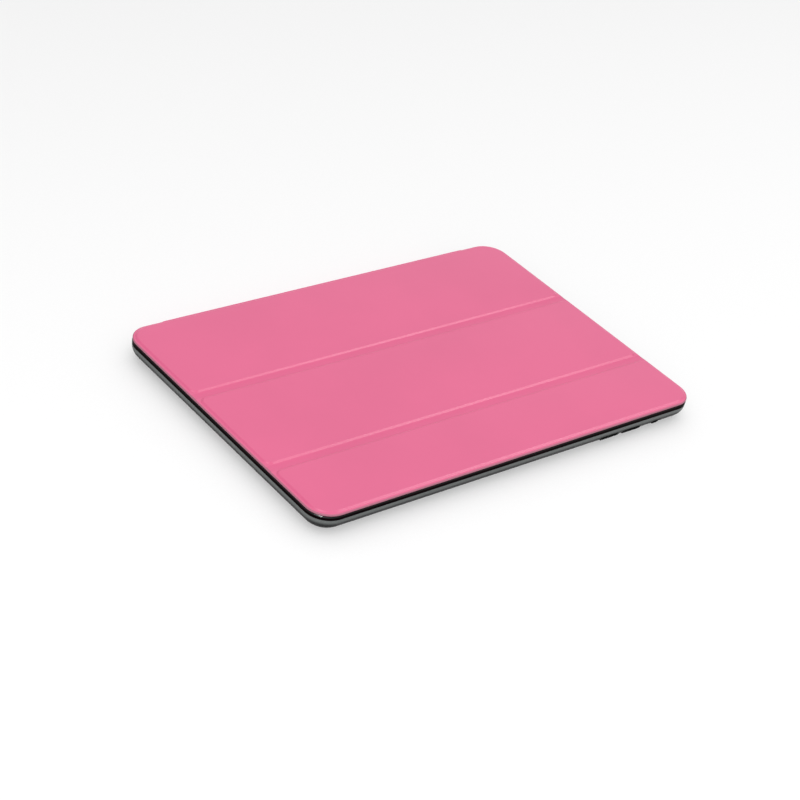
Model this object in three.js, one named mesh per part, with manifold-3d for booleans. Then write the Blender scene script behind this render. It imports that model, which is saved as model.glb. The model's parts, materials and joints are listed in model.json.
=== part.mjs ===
// A folio case for a small tablet: a thin hard shell that holds the tablet, and a soft cover
// in three stiffened panels that closes over the screen, folds back or rolls into a stand.
//
// Millimetres, +Z up. The closed case lies on its back. The origin is the centre of the
// shell's underside, X runs along the long sides (+X is the tablet's top end), the key side
// is -Y and the spine is +Y.

import * as THREE from "three";
import { mergeVertices } from "three/addons/utils/BufferGeometryUtils.js";
import Module from "manifold-3d";

const wasm = await Module();
wasm.setup();

// ---- driving dimensions -------------------------------------------------------------------

// The tablet that the case is made for.
const TABLET = { length: 200, width: 134.7, thickness: 7.2 };
const TABLET_CLEARANCE = { end: 0.3, side: 0.1, top: 0.1 };

// Hard shell: side wall, floor, and the quarter ellipse of the rounded sides.
const WALL = 1.5;
const FLOOR = 1.2;
const CORNER_RADIUS = 10.2;
const SIDE_CURVE = 8.65;
const BAY_CURVE = 7.9;
const CURVE_STEPS = 9;
const CORNER_STEPS = 5;

// Upright wall that the spine rests on, between the rounded corners of the spine side.
const SPINE_WALL = { foot: 0.8, depth: 9, overlap: 1.2 };

// Glossy rim on top of the shell, with a lip over the tablet's edge.
const RIM_HEIGHT = 2;
const RIM_CHAMFER = 0.8;
const LIP = { reach: 0.8, thickness: 0.4 };

// Layers. Bonded layers are drawn a hair apart.
const BOND_GAP = 0.02;
const PAD_THICKNESS = 0.35;
const LINING_THICKNESS = 0.35;
const SKIN_THICKNESS = 0.45;
const BOARD_THICKNESS = 0.65;
const COVER_GAP = 0.1;

// Cover: flat rim round each stiffened panel, and the two fold channels between the panels.
const COVER_RIM = 1.75;
const CHANNEL_WIDTH = 4.4;
const WEB_GAP = 0.3;
const CHANNEL_PLATE_EDGE = 2.0;
const FOLD_CORNER_RADIUS = 2.7;
const INNER_FOLD_Y = 18.1;
const OUTER_FOLD_Y = -34.3;
const BOARD_CLEARANCE = 0.1;

// Spine strip in its recess, its two hinges and the flap that is bonded under the shell.
const SPINE = { length: 165, gap: 0.1, thickness: 1.65, proud: 0.35, bottom: 0.85, topDrop: 0.4 };
const SPINE_BOARD_INSET = 1;
const FLAP = { reach: 16.6, thickness: 0.4, bottom: 0.05, tape: 0.1, tapeInset: 1, clearance: 0.3 };
const HINGE_WEB = { width: 1.05, lowerThickness: 0.5 };

// Keys, on the rounded side where it leans by this angle of the ellipse.
const KEY_ANGLE = THREE.MathUtils.degToRad(33);
const KEY = { width: 2.8, proud: 0.35, clearance: 0.2 };
const KEY_WEB = 0.68;
const KEY_FLANGE = { endReach: 0.4, sideReach: 0.7, thickness: 0.3 };
const KEY_MEMBRANE = { depth: 1.34, thickness: 0.3, reach: 0.7, cornerRadius: 1 };
const VOLUME_KEY_LENGTH = 10.4;
const VOLUME_DOWN_X = 52.5;
const VOLUME_UP_X = 65.2;
const SWITCH = { x: 79.6, length: 3.4, travel: 1.5 };
const POWER_KEY = { fromKeySide: 25, length: 9 };

// Openings for the tablet's socket, speakers, microphone, earphone jack and camera.
const PORT = { length: 13, width: 3.2 };
const SPEAKER = { length: 17, width: 1.7, offset: 27 };
const LOW_SLOT_ANGLE = THREE.MathUtils.degToRad(62);
const JACK = { length: 6.5, width: 6.4, fromSpineSide: 22 };
const JACK_ANGLE = THREE.MathUtils.degToRad(50);
const CAMERA = { radius: 4.6, fromEdge: 13, padMargin: 1 };
const MICROPHONE = { radius: 0.8, fromEnd: 13 };

// Magnets and steel in the cover and the shell.
const LATCH = { x: 28, length: 28, width: 3.2, fromFreeEdge: 4.7 };
const KEEPER = { width: 0.8, height: 1.2, inset: 0.35, clearance: 0.1 };
const WAKE_MAGNET = { radius: 4, x: -80, y: -50 };
const STAND_PLATE = { length: 120, width: 5, fromSpine: 10 };
const MAGNET_THICKNESS = 0.55;
const MAGNET_CLEARANCE = 0.15;
const ROUND_SEGMENTS = 24;

// ---- sizes worked out from them -----------------------------------------------------------

const HALF_X = TABLET.length / 2 + TABLET_CLEARANCE.end + WALL;
const HALF_Y = TABLET.width / 2 + TABLET_CLEARANCE.side + WALL;
const PAD_BOTTOM = FLOOR + BOND_GAP;
const PAD_TOP = PAD_BOTTOM + PAD_THICKNESS;
const LIP_BOTTOM = PAD_TOP + TABLET.thickness + TABLET_CLEARANCE.top;
const BODY_TOP = LIP_BOTTOM + LIP.thickness;
const SHELL_TOP = BODY_TOP - RIM_HEIGHT;

const COVER_BOTTOM = BODY_TOP + COVER_GAP;
const SKIN_BOTTOM = COVER_BOTTOM + LINING_THICKNESS + BOND_GAP;
const BOARD_TOP = SKIN_BOTTOM + BOARD_THICKNESS;
const RIM_TOP = SKIN_BOTTOM + SKIN_THICKNESS;
const PANEL_TOP = BOARD_TOP + BOND_GAP + SKIN_THICKNESS;

const SPINE_INNER_Y = HALF_Y + SPINE.gap;
const SPINE_OUTER_Y = SPINE_INNER_Y + SPINE.thickness;
const SPINE_HALF_X = SPINE.length / 2;
const CASE_SIDES = { x: HALF_X, low: -HALF_Y, high: SPINE_OUTER_Y - SPINE.proud };

// ---- solids -------------------------------------------------------------------------------

function toSolid(geometry) {
  const bare = geometry.clone();
  bare.deleteAttribute("normal");
  bare.deleteAttribute("uv");
  const merged = mergeVertices(bare);
  const vertProperties = new Float32Array(merged.attributes.position.array);
  const triVerts = new Uint32Array(merged.index.array);
  return new wasm.Manifold(new wasm.Mesh({ numProp: 3, vertProperties, triVerts }));
}

function toGeometry(solid) {
  const mesh = solid.getMesh();
  const geometry = new THREE.BufferGeometry();
  geometry.setAttribute("position", new THREE.BufferAttribute(mesh.vertProperties, 3));
  geometry.setIndex(new THREE.BufferAttribute(mesh.triVerts, 1));
  geometry.computeVertexNormals();
  return geometry;
}

function cut(geometry, tools) {
  let solid = toSolid(geometry);
  for (const tool of tools) {
    solid = solid.subtract(toSolid(tool));
  }
  return toGeometry(solid);
}

function join(geometry, others) {
  let solid = toSolid(geometry);
  for (const other of others) {
    solid = solid.add(toSolid(other));
  }
  return toGeometry(solid);
}

// A box between two opposite corners.
function box(x0, x1, y0, y1, z0, z1) {
  const geometry = new THREE.BoxGeometry(x1 - x0, y1 - y0, z1 - z0);
  return geometry.translate((x0 + x1) / 2, (y0 + y1) / 2, (z0 + z1) / 2);
}

// An outline in plan, the same on both sides of X = 0, with one corner radius towards -Y
// and one towards +Y. A radius of 0 gives a square corner.
function outline(halfX, low, high, lowRadius, highRadius) {
  const shape = new THREE.Shape();
  const corners = [
    [-1, low + lowRadius, lowRadius, Math.PI],
    [1, low + lowRadius, lowRadius, 1.5 * Math.PI],
    [1, high - highRadius, highRadius, 0],
    [-1, high - highRadius, highRadius, 0.5 * Math.PI],
  ];
  corners.forEach(([side, y, radius, start], index) => {
    const x = side * (halfX - radius);
    if (radius > 0) {
      shape.absarc(x, y, radius, start, start + Math.PI / 2);
    } else if (index === 0) {
      shape.moveTo(x, y);
    } else {
      shape.lineTo(x, y);
    }
  });
  return shape;
}

// A flat plate of the given outline between two heights.
function plate(shape, z0, z1) {
  const options = { depth: z1 - z0, bevelEnabled: false, curveSegments: CORNER_STEPS };
  return new THREE.ExtrudeGeometry(shape, options).translate(0, 0, z0);
}

// A pill: a slot shape with round ends, centred on X = Y = 0.
function pill(length, width) {
  const radius = width / 2;
  const reach = length / 2 - radius;
  const shape = new THREE.Shape();
  shape.absarc(reach, 0, radius, -Math.PI / 2, Math.PI / 2);
  shape.absarc(-reach, 0, radius, Math.PI / 2, 1.5 * Math.PI);
  return shape;
}

// A closed skin through a stack of outlines that all have the same number of points.
function loft(levels) {
  const rings = levels.map(({ shape }) => shape.getPoints(CORNER_STEPS));
  const count = rings[0].length;
  const positions = rings.flatMap((ring, level) => ring.flatMap((p) => [p.x, p.y, levels[level].z]));
  const indices = [];
  for (let level = 0; level < rings.length - 1; level += 1) {
    for (let point = 0; point < count; point += 1) {
      const a = level * count + point;
      const b = level * count + ((point + 1) % count);
      indices.push(a, b, b + count, a, b + count, a + count);
    }
  }
  const last = (rings.length - 1) * count;
  for (const [a, b, c] of THREE.ShapeUtils.triangulateShape(rings[0], [])) {
    indices.push(a, c, b);
  }
  for (const [a, b, c] of THREE.ShapeUtils.triangulateShape(rings[rings.length - 1], [])) {
    indices.push(last + a, last + b, last + c);
  }
  const geometry = new THREE.BufferGeometry();
  geometry.setAttribute("position", new THREE.Float32BufferAttribute(positions, 3));
  geometry.setIndex(indices);
  return geometry;
}

// The outer outline of the shell and the cover, moved in by an inset.
function caseOutline(inset) {
  const { x, low, high } = CASE_SIDES;
  const radius = CORNER_RADIUS - inset;
  return outline(x - inset, low + inset, high - inset, radius, radius);
}

// The same for the tablet's bay, which the walls leave centred on Y = 0.
function bayOutline(inset) {
  const radius = CORNER_RADIUS - inset;
  return outline(HALF_X - inset, -HALF_Y + inset, HALF_Y - inset, radius, radius);
}

// ---- places on the rounded sides ----------------------------------------------------------

const SIDES = {
  keySide: { turn: 0, half: HALF_Y },
  topEnd: { turn: Math.PI / 2, half: HALF_X },
  bottomEnd: { turn: -Math.PI / 2, half: HALF_X },
};

// Frame on a rounded side: local X runs along the side, local Z points into the shell.
function sideFrame(side, along, angle) {
  const inward = new THREE.Vector3(0, SHELL_TOP * Math.cos(angle), SIDE_CURVE * Math.sin(angle)).normalize();
  const lengthwise = new THREE.Vector3(1, 0, 0);
  const across = new THREE.Vector3().crossVectors(inward, lengthwise);
  const inset = SIDE_CURVE * (1 - Math.cos(angle));
  const height = SHELL_TOP * (1 - Math.sin(angle));
  const frame = new THREE.Matrix4().makeBasis(lengthwise, across, inward);
  frame.setPosition(along, -side.half + inset, height);
  return new THREE.Matrix4().makeRotationZ(side.turn).multiply(frame);
}

function placed(geometry, frame) {
  return geometry.applyMatrix4(frame);
}

const KEYS = {
  volume_down_cap: { side: SIDES.keySide, along: VOLUME_DOWN_X, length: VOLUME_KEY_LENGTH },
  volume_up_cap: { side: SIDES.keySide, along: VOLUME_UP_X, length: VOLUME_KEY_LENGTH },
  power_key_cap: { side: SIDES.topEnd, along: -HALF_Y + POWER_KEY.fromKeySide, length: POWER_KEY.length },
};

function keyFrame(key) {
  return sideFrame(key.side, key.along, KEY_ANGLE);
}

const switchFrame = sideFrame(SIDES.keySide, SWITCH.x, KEY_ANGLE);

// ---- shell --------------------------------------------------------------------------------

const CUT_OVERRUN = 3;

// The window a key stands in and the deeper pocket that its flange moves in.
function keyOpening(length, width, frame, shift = 0) {
  const wideLength = length + 2 * KEY.clearance;
  const wideWidth = width + 2 * KEY.clearance;
  const window = plate(pill(wideLength, wideWidth), -CUT_OVERRUN, CUT_OVERRUN);
  const pocketShape = pill(wideLength + 2 * KEY_FLANGE.endReach, wideWidth + 2 * KEY_FLANGE.sideReach);
  const pocket = plate(pocketShape, KEY_WEB, CUT_OVERRUN);
  return [window, pocket].map((tool) => placed(tool.translate(shift, 0, 0), frame));
}

// The seat for a membrane behind one or more keys, between two places along the side.
function membraneOutline(from, to, clearance) {
  const { reach, cornerRadius } = KEY_MEMBRANE;
  const halfWidth = KEY.width / 2 + KEY_FLANGE.sideReach + reach - clearance;
  const halfLength = (to - from) / 2 + KEY_FLANGE.endReach + reach - clearance;
  return outline(halfLength, -halfWidth, halfWidth, cornerRadius, cornerRadius);
}

const MEMBRANES = {
  volume_key_membrane: {
    side: SIDES.keySide,
    from: VOLUME_DOWN_X - VOLUME_KEY_LENGTH / 2,
    to: VOLUME_UP_X + VOLUME_KEY_LENGTH / 2,
  },
  power_key_membrane: {
    side: SIDES.topEnd,
    from: KEYS.power_key_cap.along - POWER_KEY.length / 2,
    to: KEYS.power_key_cap.along + POWER_KEY.length / 2,
  },
};

function membranePlate({ side, from, to }, depth, thickness, clearance) {
  const flat = plate(membraneOutline(from, to, clearance), depth, depth + thickness);
  return placed(flat, sideFrame(side, (from + to) / 2, KEY_ANGLE));
}

function sideSlot(side, along, angle, length, width) {
  const slot = plate(pill(length, width), -CUT_OVERRUN, CUT_OVERRUN);
  return placed(slot, sideFrame(side, along, angle));
}

function floorHole(radius, x, y, top) {
  const depth = top + 2 * CUT_OVERRUN;
  const hole = new THREE.CylinderGeometry(radius, radius, depth, ROUND_SEGMENTS);
  return hole.rotateX(Math.PI / 2).translate(x, y, top / 2);
}

function cameraHole(radius) {
  return floorHole(radius, HALF_X - CAMERA.fromEdge, -HALF_Y + CAMERA.fromEdge, PAD_TOP);
}

function microphoneHole(radius) {
  return floorHole(radius, HALF_X - MICROPHONE.fromEnd, 0, PAD_TOP);
}

function shellBody() {
  const levels = [];
  for (let step = 0; step <= CURVE_STEPS; step += 1) {
    const angle = (Math.PI / 2) * (1 - step / CURVE_STEPS);
    const shape = caseOutline(SIDE_CURVE * (1 - Math.cos(angle)));
    levels.push({ z: SHELL_TOP * (1 - Math.sin(angle)), shape });
  }
  return join(loft(levels), [spineWall()]);
}

// The upright wall behind the spine, with a rounded foot, drawn in section and run along X.
function spineWall() {
  const section = new THREE.Shape();
  section.moveTo(HALF_Y - SPINE_WALL.depth, 0);
  for (let step = 0; step <= CURVE_STEPS; step += 1) {
    const angle = (Math.PI / 2) * (1 - step / CURVE_STEPS);
    const y = HALF_Y - SPINE_WALL.foot * (1 - Math.cos(angle));
    section.lineTo(y, SHELL_TOP * (1 - Math.sin(angle)));
  }
  section.lineTo(HALF_Y - SPINE_WALL.depth, SHELL_TOP);
  const half = SPINE_HALF_X + FLAP.clearance + SPINE_WALL.overlap;
  const wall = plate(section, -half, half);
  const sectionToCase = new THREE.Matrix4().makeBasis(
    new THREE.Vector3(0, 1, 0),
    new THREE.Vector3(0, 0, 1),
    new THREE.Vector3(1, 0, 0),
  );
  return placed(wall, sectionToCase);
}

// The recess that the spine closes into.
function spineRecess() {
  const half = SPINE_HALF_X + FLAP.clearance;
  return box(-half, half, HALF_Y, SPINE_OUTER_Y, -CUT_OVERRUN, BODY_TOP + CUT_OVERRUN);
}

function bayHollow() {
  const levels = [];
  for (let step = 0; step <= CURVE_STEPS; step += 1) {
    const angle = (Math.PI / 2) * (1 - step / CURVE_STEPS);
    const inset = WALL + BAY_CURVE * (1 - Math.cos(angle));
    const z = FLOOR + (SHELL_TOP - FLOOR) * (1 - Math.sin(angle));
    levels.push({ z, shape: bayOutline(inset) });
  }
  levels.push({ z: BODY_TOP, shape: bayOutline(WALL) });
  return loft(levels);
}

function keeperBox(side, clearance) {
  const centre = side * LATCH.x;
  const half = LATCH.length / 2 + clearance;
  const y = -HALF_Y + KEEPER.inset;
  const z = SHELL_TOP - KEEPER.height - KEEPER.clearance;
  const top = z + KEEPER.height + (clearance > 0 ? CUT_OVERRUN : 0);
  return box(centre - half, centre + half, y - clearance, y + KEEPER.width + clearance, z - clearance, top);
}

function flapRecess() {
  const half = SPINE_HALF_X + FLAP.clearance;
  const depth = FLAP.bottom + FLAP.thickness + FLAP.tape + 2 * BOND_GAP;
  const start = HALF_Y - FLAP.reach - FLAP.clearance;
  return box(-half, half, start, SPINE_OUTER_Y, -CUT_OVERRUN, depth);
}

function rearShell() {
  const keyTools = Object.values(KEYS).flatMap((key) => keyOpening(key.length, KEY.width, keyFrame(key)));
  const seatDepth = KEY_MEMBRANE.depth - BOND_GAP;
  const membraneSeats = Object.values(MEMBRANES).map((m) => membranePlate(m, seatDepth, CUT_OVERRUN, 0));
  return cut(shellBody(), [
    bayHollow(),
    spineRecess(),
    ...keyTools,
    ...membraneSeats,
    ...keyOpening(SWITCH.length + SWITCH.travel, KEY.width, switchFrame, SWITCH.travel / 2),
    keeperBox(-1, KEEPER.clearance),
    keeperBox(1, KEEPER.clearance),
    flapRecess(),
    sideSlot(SIDES.bottomEnd, 0, LOW_SLOT_ANGLE, PORT.length, PORT.width),
    sideSlot(SIDES.bottomEnd, -SPEAKER.offset, LOW_SLOT_ANGLE, SPEAKER.length, SPEAKER.width),
    sideSlot(SIDES.bottomEnd, SPEAKER.offset, LOW_SLOT_ANGLE, SPEAKER.length, SPEAKER.width),
    sideSlot(SIDES.topEnd, HALF_Y - JACK.fromSpineSide, JACK_ANGLE, JACK.length, JACK.width),
    cameraHole(CAMERA.radius),
    microphoneHole(MICROPHONE.radius),
  ]);
}

function rimFrame() {
  const ring = loft([
    { z: SHELL_TOP + BOND_GAP, shape: caseOutline(0) },
    { z: BODY_TOP - RIM_CHAMFER, shape: caseOutline(0) },
    { z: BODY_TOP, shape: caseOutline(RIM_CHAMFER) },
  ]);
  return cut(ring, [
    plate(bayOutline(WALL), SHELL_TOP - CUT_OVERRUN, LIP_BOTTOM),
    plate(bayOutline(WALL + LIP.reach), SHELL_TOP, BODY_TOP + CUT_OVERRUN),
    spineRecess(),
  ]);
}

function backPad() {
  const inset = WALL + BAY_CURVE + TABLET_CLEARANCE.side;
  const flat = plate(bayOutline(inset), PAD_BOTTOM, PAD_TOP);
  return cut(flat, [cameraHole(CAMERA.radius + CAMERA.padMargin), microphoneHole(2 * MICROPHONE.radius)]);
}

// ---- keys ---------------------------------------------------------------------------------

// A cap that stands a little proud of the shell, with a flange behind the wall that keeps it in.
function keyCap(length, width, frame) {
  const flangeDepth = KEY_WEB + 2 * BOND_GAP;
  const cap = plate(pill(length, width), -KEY.proud, flangeDepth + KEY_FLANGE.thickness);
  const flange = plate(
    pill(length + 2 * KEY_FLANGE.endReach, width + 2 * KEY_FLANGE.sideReach),
    flangeDepth,
    flangeDepth + KEY_FLANGE.thickness,
  );
  return placed(join(cap, [flange]), frame);
}

// ---- spine and hinges ---------------------------------------------------------------------

const SPINE_TOP = BODY_TOP - SPINE.topDrop;
const SPINE_SKIN_Y = SPINE_OUTER_Y - SKIN_THICKNESS;
const SPINE_BOARD_Y = SPINE_INNER_Y + LINING_THICKNESS + BOND_GAP;

function spineLayer(y0, y1, shorter = 0) {
  const half = SPINE_HALF_X - shorter;
  return box(-half, half, y0, y1, SPINE.bottom + shorter / 2, SPINE_TOP - shorter / 2);
}

function hingeFlap() {
  const start = HALF_Y - FLAP.reach;
  return box(-SPINE_HALF_X, SPINE_HALF_X, start, HALF_Y, FLAP.bottom, FLAP.bottom + FLAP.thickness);
}

function flapTape() {
  const z = FLAP.bottom + FLAP.thickness + BOND_GAP;
  const half = SPINE_HALF_X - FLAP.tapeInset;
  const start = HALF_Y - FLAP.reach + FLAP.tapeInset;
  return box(-half, half, start, HALF_Y - FLAP.tapeInset, z, z + FLAP.tape);
}

function hingeWeb(z0, z1) {
  return box(-SPINE_HALF_X, SPINE_HALF_X, SPINE_OUTER_Y - HINGE_WEB.width, SPINE_OUTER_Y, z0, z1);
}

function lowerHingeWeb() {
  return hingeWeb(FLAP.bottom, FLAP.bottom + HINGE_WEB.lowerThickness);
}

function upperHingeWeb() {
  return hingeWeb(COVER_BOTTOM, RIM_TOP);
}

// ---- cover panels -------------------------------------------------------------------------

// Each panel runs in Y between two edges. An edge at a fold stops short of the fold's web.
const PANELS = {
  hinge_panel: {
    low: INNER_FOLD_Y,
    high: CASE_SIDES.high,
    lowIsFold: true,
    highIsFold: false,
  },
  middle_panel: { low: OUTER_FOLD_Y, high: INNER_FOLD_Y, lowIsFold: true, highIsFold: true },
  free_panel: { low: CASE_SIDES.low, high: OUTER_FOLD_Y, lowIsFold: false, highIsFold: true },
};

// The panel's outline moved in by an inset; at a fold the plate and the stiffened part start
// at their own distances from the fold's middle.
function panelOutline(panel, inset, foldEdge, foldRadius) {
  const low = panel.low + (panel.lowIsFold ? foldEdge : inset);
  const high = panel.high - (panel.highIsFold ? foldEdge : inset);
  const lowRadius = panel.lowIsFold ? foldRadius : CORNER_RADIUS - inset;
  const highRadius = panel.highIsFold ? foldRadius : CORNER_RADIUS - inset;
  return outline(CASE_SIDES.x - inset, low, high, lowRadius, highRadius);
}

// Outline of the raised part, moved in by a further inset.
function raisedOutline(panel, further = 0) {
  const foldEdge = CHANNEL_WIDTH / 2 + further;
  return panelOutline(panel, COVER_RIM + further, foldEdge, FOLD_CORNER_RADIUS - further);
}

// Room for the web of the upper hinge at the spine edge.
function hingeWebRoom() {
  const half = SPINE_HALF_X + WEB_GAP;
  const start = SPINE_OUTER_Y - HINGE_WEB.width - WEB_GAP;
  return box(-half, half, start, SPINE_OUTER_Y + CUT_OVERRUN, COVER_BOTTOM - CUT_OVERRUN, PANEL_TOP);
}

function panelSkin(panel) {
  const base = plate(panelOutline(panel, 0, CHANNEL_PLATE_EDGE, 0), SKIN_BOTTOM, RIM_TOP);
  const raised = plate(raisedOutline(panel), SKIN_BOTTOM, PANEL_TOP);
  const hollow = plate(
    raisedOutline(panel, SKIN_THICKNESS),
    SKIN_BOTTOM - CUT_OVERRUN,
    BOARD_TOP + BOND_GAP,
  );
  const skin = cut(join(base, [raised]), [hollow]);
  return panel === PANELS.hinge_panel ? cut(skin, [hingeWebRoom()]) : skin;
}

function panelLining(panel) {
  const inset = BOARD_CLEARANCE;
  const shape = panelOutline(panel, inset, CHANNEL_PLATE_EDGE, 0);
  const flat = plate(shape, COVER_BOTTOM, COVER_BOTTOM + LINING_THICKNESS);
  return panel === PANELS.hinge_panel ? cut(flat, [hingeWebRoom()]) : flat;
}

function panelBoard(panel, windows) {
  const shape = raisedOutline(panel, SKIN_THICKNESS + BOARD_CLEARANCE);
  return cut(plate(shape, SKIN_BOTTOM, BOARD_TOP), windows);
}

// The leather or the lining across a fold.
function foldWeb(y, z0, z1) {
  const half = CHANNEL_PLATE_EDGE - WEB_GAP;
  return box(-CASE_SIDES.x, CASE_SIDES.x, y - half, y + half, z0, z1);
}

// ---- magnets and steel in the cover -------------------------------------------------------

function latchMagnet(side, clearance = 0) {
  const halfLength = LATCH.length / 2 + clearance;
  const halfWidth = LATCH.width / 2 + clearance;
  const y = CASE_SIDES.low + LATCH.fromFreeEdge;
  const x = side * LATCH.x;
  return insert(x - halfLength, x + halfLength, y - halfWidth, y + halfWidth, clearance);
}

function standPlate(clearance = 0) {
  const half = STAND_PLATE.length / 2 + clearance;
  const halfWidth = STAND_PLATE.width / 2 + clearance;
  const y = CASE_SIDES.high - STAND_PLATE.fromSpine;
  return insert(-half, half, y - halfWidth, y + halfWidth, clearance);
}

// A flat insert at board level. With a clearance it is the window that the insert needs.
function insert(x0, x1, y0, y1, clearance) {
  const overrun = clearance > 0 ? CUT_OVERRUN : 0;
  return box(x0, x1, y0, y1, SKIN_BOTTOM - overrun, SKIN_BOTTOM + MAGNET_THICKNESS + overrun);
}

function wakeMagnet(clearance = 0) {
  const overrun = clearance > 0 ? CUT_OVERRUN : 0;
  const radius = WAKE_MAGNET.radius + clearance;
  const height = MAGNET_THICKNESS + 2 * overrun;
  const disc = new THREE.CylinderGeometry(radius, radius, height, ROUND_SEGMENTS);
  const z = SKIN_BOTTOM + MAGNET_THICKNESS / 2;
  return disc.rotateX(Math.PI / 2).translate(WAKE_MAGNET.x, WAKE_MAGNET.y, z);
}

// ---- materials ----------------------------------------------------------------------------

function material(color, roughness, metalness = 0) {
  return new THREE.MeshStandardMaterial({ color, roughness, metalness });
}

const LEATHER = () => material(0xe97a9d, 0.55);
const MICROFIBRE = () => material(0xd9839f, 0.95);
const GRAPHITE = () => material(0x565a5a, 0.45);
const GLOSS_BLACK = () => material(0x0c0c0e, 0.12);
const PAD_GREY = () => material(0x3a3a3d, 0.95);
const SILICONE = () => material(0x202124, 0.7);
const CARD = () => material(0x8d8a84, 0.9);
const TAPE = () => material(0xd8d4c8, 0.6);
const MAGNET = () => material(0xa9abb0, 0.35, 1);

// ---- the case -----------------------------------------------------------------------------

const tabletCase = new THREE.Group();

function addPart(group, name, geometry, finish) {
  const mesh = new THREE.Mesh(geometry, finish());
  mesh.name = name;
  group.add(mesh);
}

function addShell(group) {
  addPart(group, "rear_shell", rearShell(), GRAPHITE);
  addPart(group, "rim_frame", rimFrame(), GLOSS_BLACK);
  addPart(group, "back_pad", backPad(), PAD_GREY);
  addPart(group, "latch_keeper_left", keeperBox(-1, 0), MAGNET);
  addPart(group, "latch_keeper_right", keeperBox(1, 0), MAGNET);
  for (const [name, membrane] of Object.entries(MEMBRANES)) {
    const sheet = membranePlate(membrane, KEY_MEMBRANE.depth, KEY_MEMBRANE.thickness, KEY.clearance);
    addPart(group, name, sheet, SILICONE);
  }
  addPart(group, "hinge_flap", hingeFlap(), LEATHER);
  addPart(group, "flap_tape", flapTape(), TAPE);
  addPart(group, "lower_hinge_web", lowerHingeWeb(), LEATHER);
}

function addKeys(group) {
  for (const [name, key] of Object.entries(KEYS)) {
    addPart(group, name, keyCap(key.length, KEY.width, keyFrame(key)), GLOSS_BLACK);
  }
  addPart(group, "mute_switch_cap", keyCap(SWITCH.length, KEY.width, switchFrame), GLOSS_BLACK);
}

function addSpine(group) {
  addPart(group, "spine_skin", spineLayer(SPINE_SKIN_Y, SPINE_OUTER_Y), LEATHER);
  const board = spineLayer(SPINE_BOARD_Y, SPINE_SKIN_Y - BOND_GAP, SPINE_BOARD_INSET);
  addPart(group, "spine_board", board, CARD);
  addPart(group, "spine_lining", spineLayer(SPINE_INNER_Y, SPINE_INNER_Y + LINING_THICKNESS), MICROFIBRE);
}

function addCover(group) {
  const { hinge_panel: hinge, middle_panel: middle, free_panel: free } = PANELS;
  const freeWindows = [-1, 1].map((side) => latchMagnet(side, MAGNET_CLEARANCE));
  const boards = {
    hinge_panel: panelBoard(hinge, [standPlate(MAGNET_CLEARANCE)]),
    middle_panel: panelBoard(middle, []),
    free_panel: panelBoard(free, [...freeWindows, wakeMagnet(MAGNET_CLEARANCE)]),
  };
  for (const [name, panel] of Object.entries(PANELS)) {
    addPart(group, `${name}_skin`, panelSkin(panel), LEATHER);
    addPart(group, `${name}_board`, boards[name], CARD);
    addPart(group, `${name}_lining`, panelLining(panel), MICROFIBRE);
  }
  const liningTop = COVER_BOTTOM + LINING_THICKNESS;
  for (const [name, y] of Object.entries({ inner_fold: INNER_FOLD_Y, outer_fold: OUTER_FOLD_Y })) {
    addPart(group, `${name}_web`, foldWeb(y, SKIN_BOTTOM, RIM_TOP), LEATHER);
    addPart(group, `${name}_lining`, foldWeb(y, COVER_BOTTOM, liningTop), MICROFIBRE);
  }
  addPart(group, "upper_hinge_web", upperHingeWeb(), LEATHER);
  addPart(group, "stand_plate", standPlate(), MAGNET);
  addPart(group, "latch_magnet_left", latchMagnet(-1), MAGNET);
  addPart(group, "latch_magnet_right", latchMagnet(1), MAGNET);
  addPart(group, "wake_magnet", wakeMagnet(), MAGNET);
}

addShell(tabletCase);
addKeys(tabletCase);
addSpine(tabletCase);
addCover(tabletCase);

export default tabletCase;
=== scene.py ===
"""A pink folio case for a small tablet, closed on a pale floor: the looks around the CAD frame."""

import json
import math

import bmesh
import bpy
from mathutils import Matrix, Vector


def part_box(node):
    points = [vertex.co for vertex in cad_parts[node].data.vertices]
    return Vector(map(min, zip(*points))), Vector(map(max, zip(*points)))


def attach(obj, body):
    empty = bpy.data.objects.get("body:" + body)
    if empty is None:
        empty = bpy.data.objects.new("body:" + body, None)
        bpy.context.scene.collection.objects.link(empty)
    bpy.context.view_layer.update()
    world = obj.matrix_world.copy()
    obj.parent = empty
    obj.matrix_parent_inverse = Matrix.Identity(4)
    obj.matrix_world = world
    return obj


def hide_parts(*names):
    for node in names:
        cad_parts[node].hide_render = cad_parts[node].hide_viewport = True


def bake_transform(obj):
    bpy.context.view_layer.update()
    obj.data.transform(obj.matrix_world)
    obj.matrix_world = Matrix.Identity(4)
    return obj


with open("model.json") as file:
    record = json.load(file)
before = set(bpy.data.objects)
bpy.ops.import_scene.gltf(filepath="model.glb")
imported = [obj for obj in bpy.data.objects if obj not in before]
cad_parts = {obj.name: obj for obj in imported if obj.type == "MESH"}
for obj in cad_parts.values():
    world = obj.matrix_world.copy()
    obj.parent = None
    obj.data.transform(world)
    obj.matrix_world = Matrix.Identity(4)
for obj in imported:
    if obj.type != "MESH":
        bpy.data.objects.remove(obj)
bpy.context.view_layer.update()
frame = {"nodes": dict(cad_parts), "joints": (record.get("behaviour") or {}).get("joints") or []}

MM = 0.001

# ---- sizes that the frame doesn't state, in metres ------------------------------------------

# Shell and rim. The lip reaches over the tablet, and the chamfer runs round the rim's top edge.
CORNER_RADIUS = 10.2 * MM
SHELL_WALL = 1.5 * MM
LIP_REACH = 0.8 * MM
LIP_THICKNESS = 0.4 * MM
RIM_CHAMFER = 0.8 * MM
RIM_BLEND = 0.35 * MM
RIM_SOFT = 0.15 * MM

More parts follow.
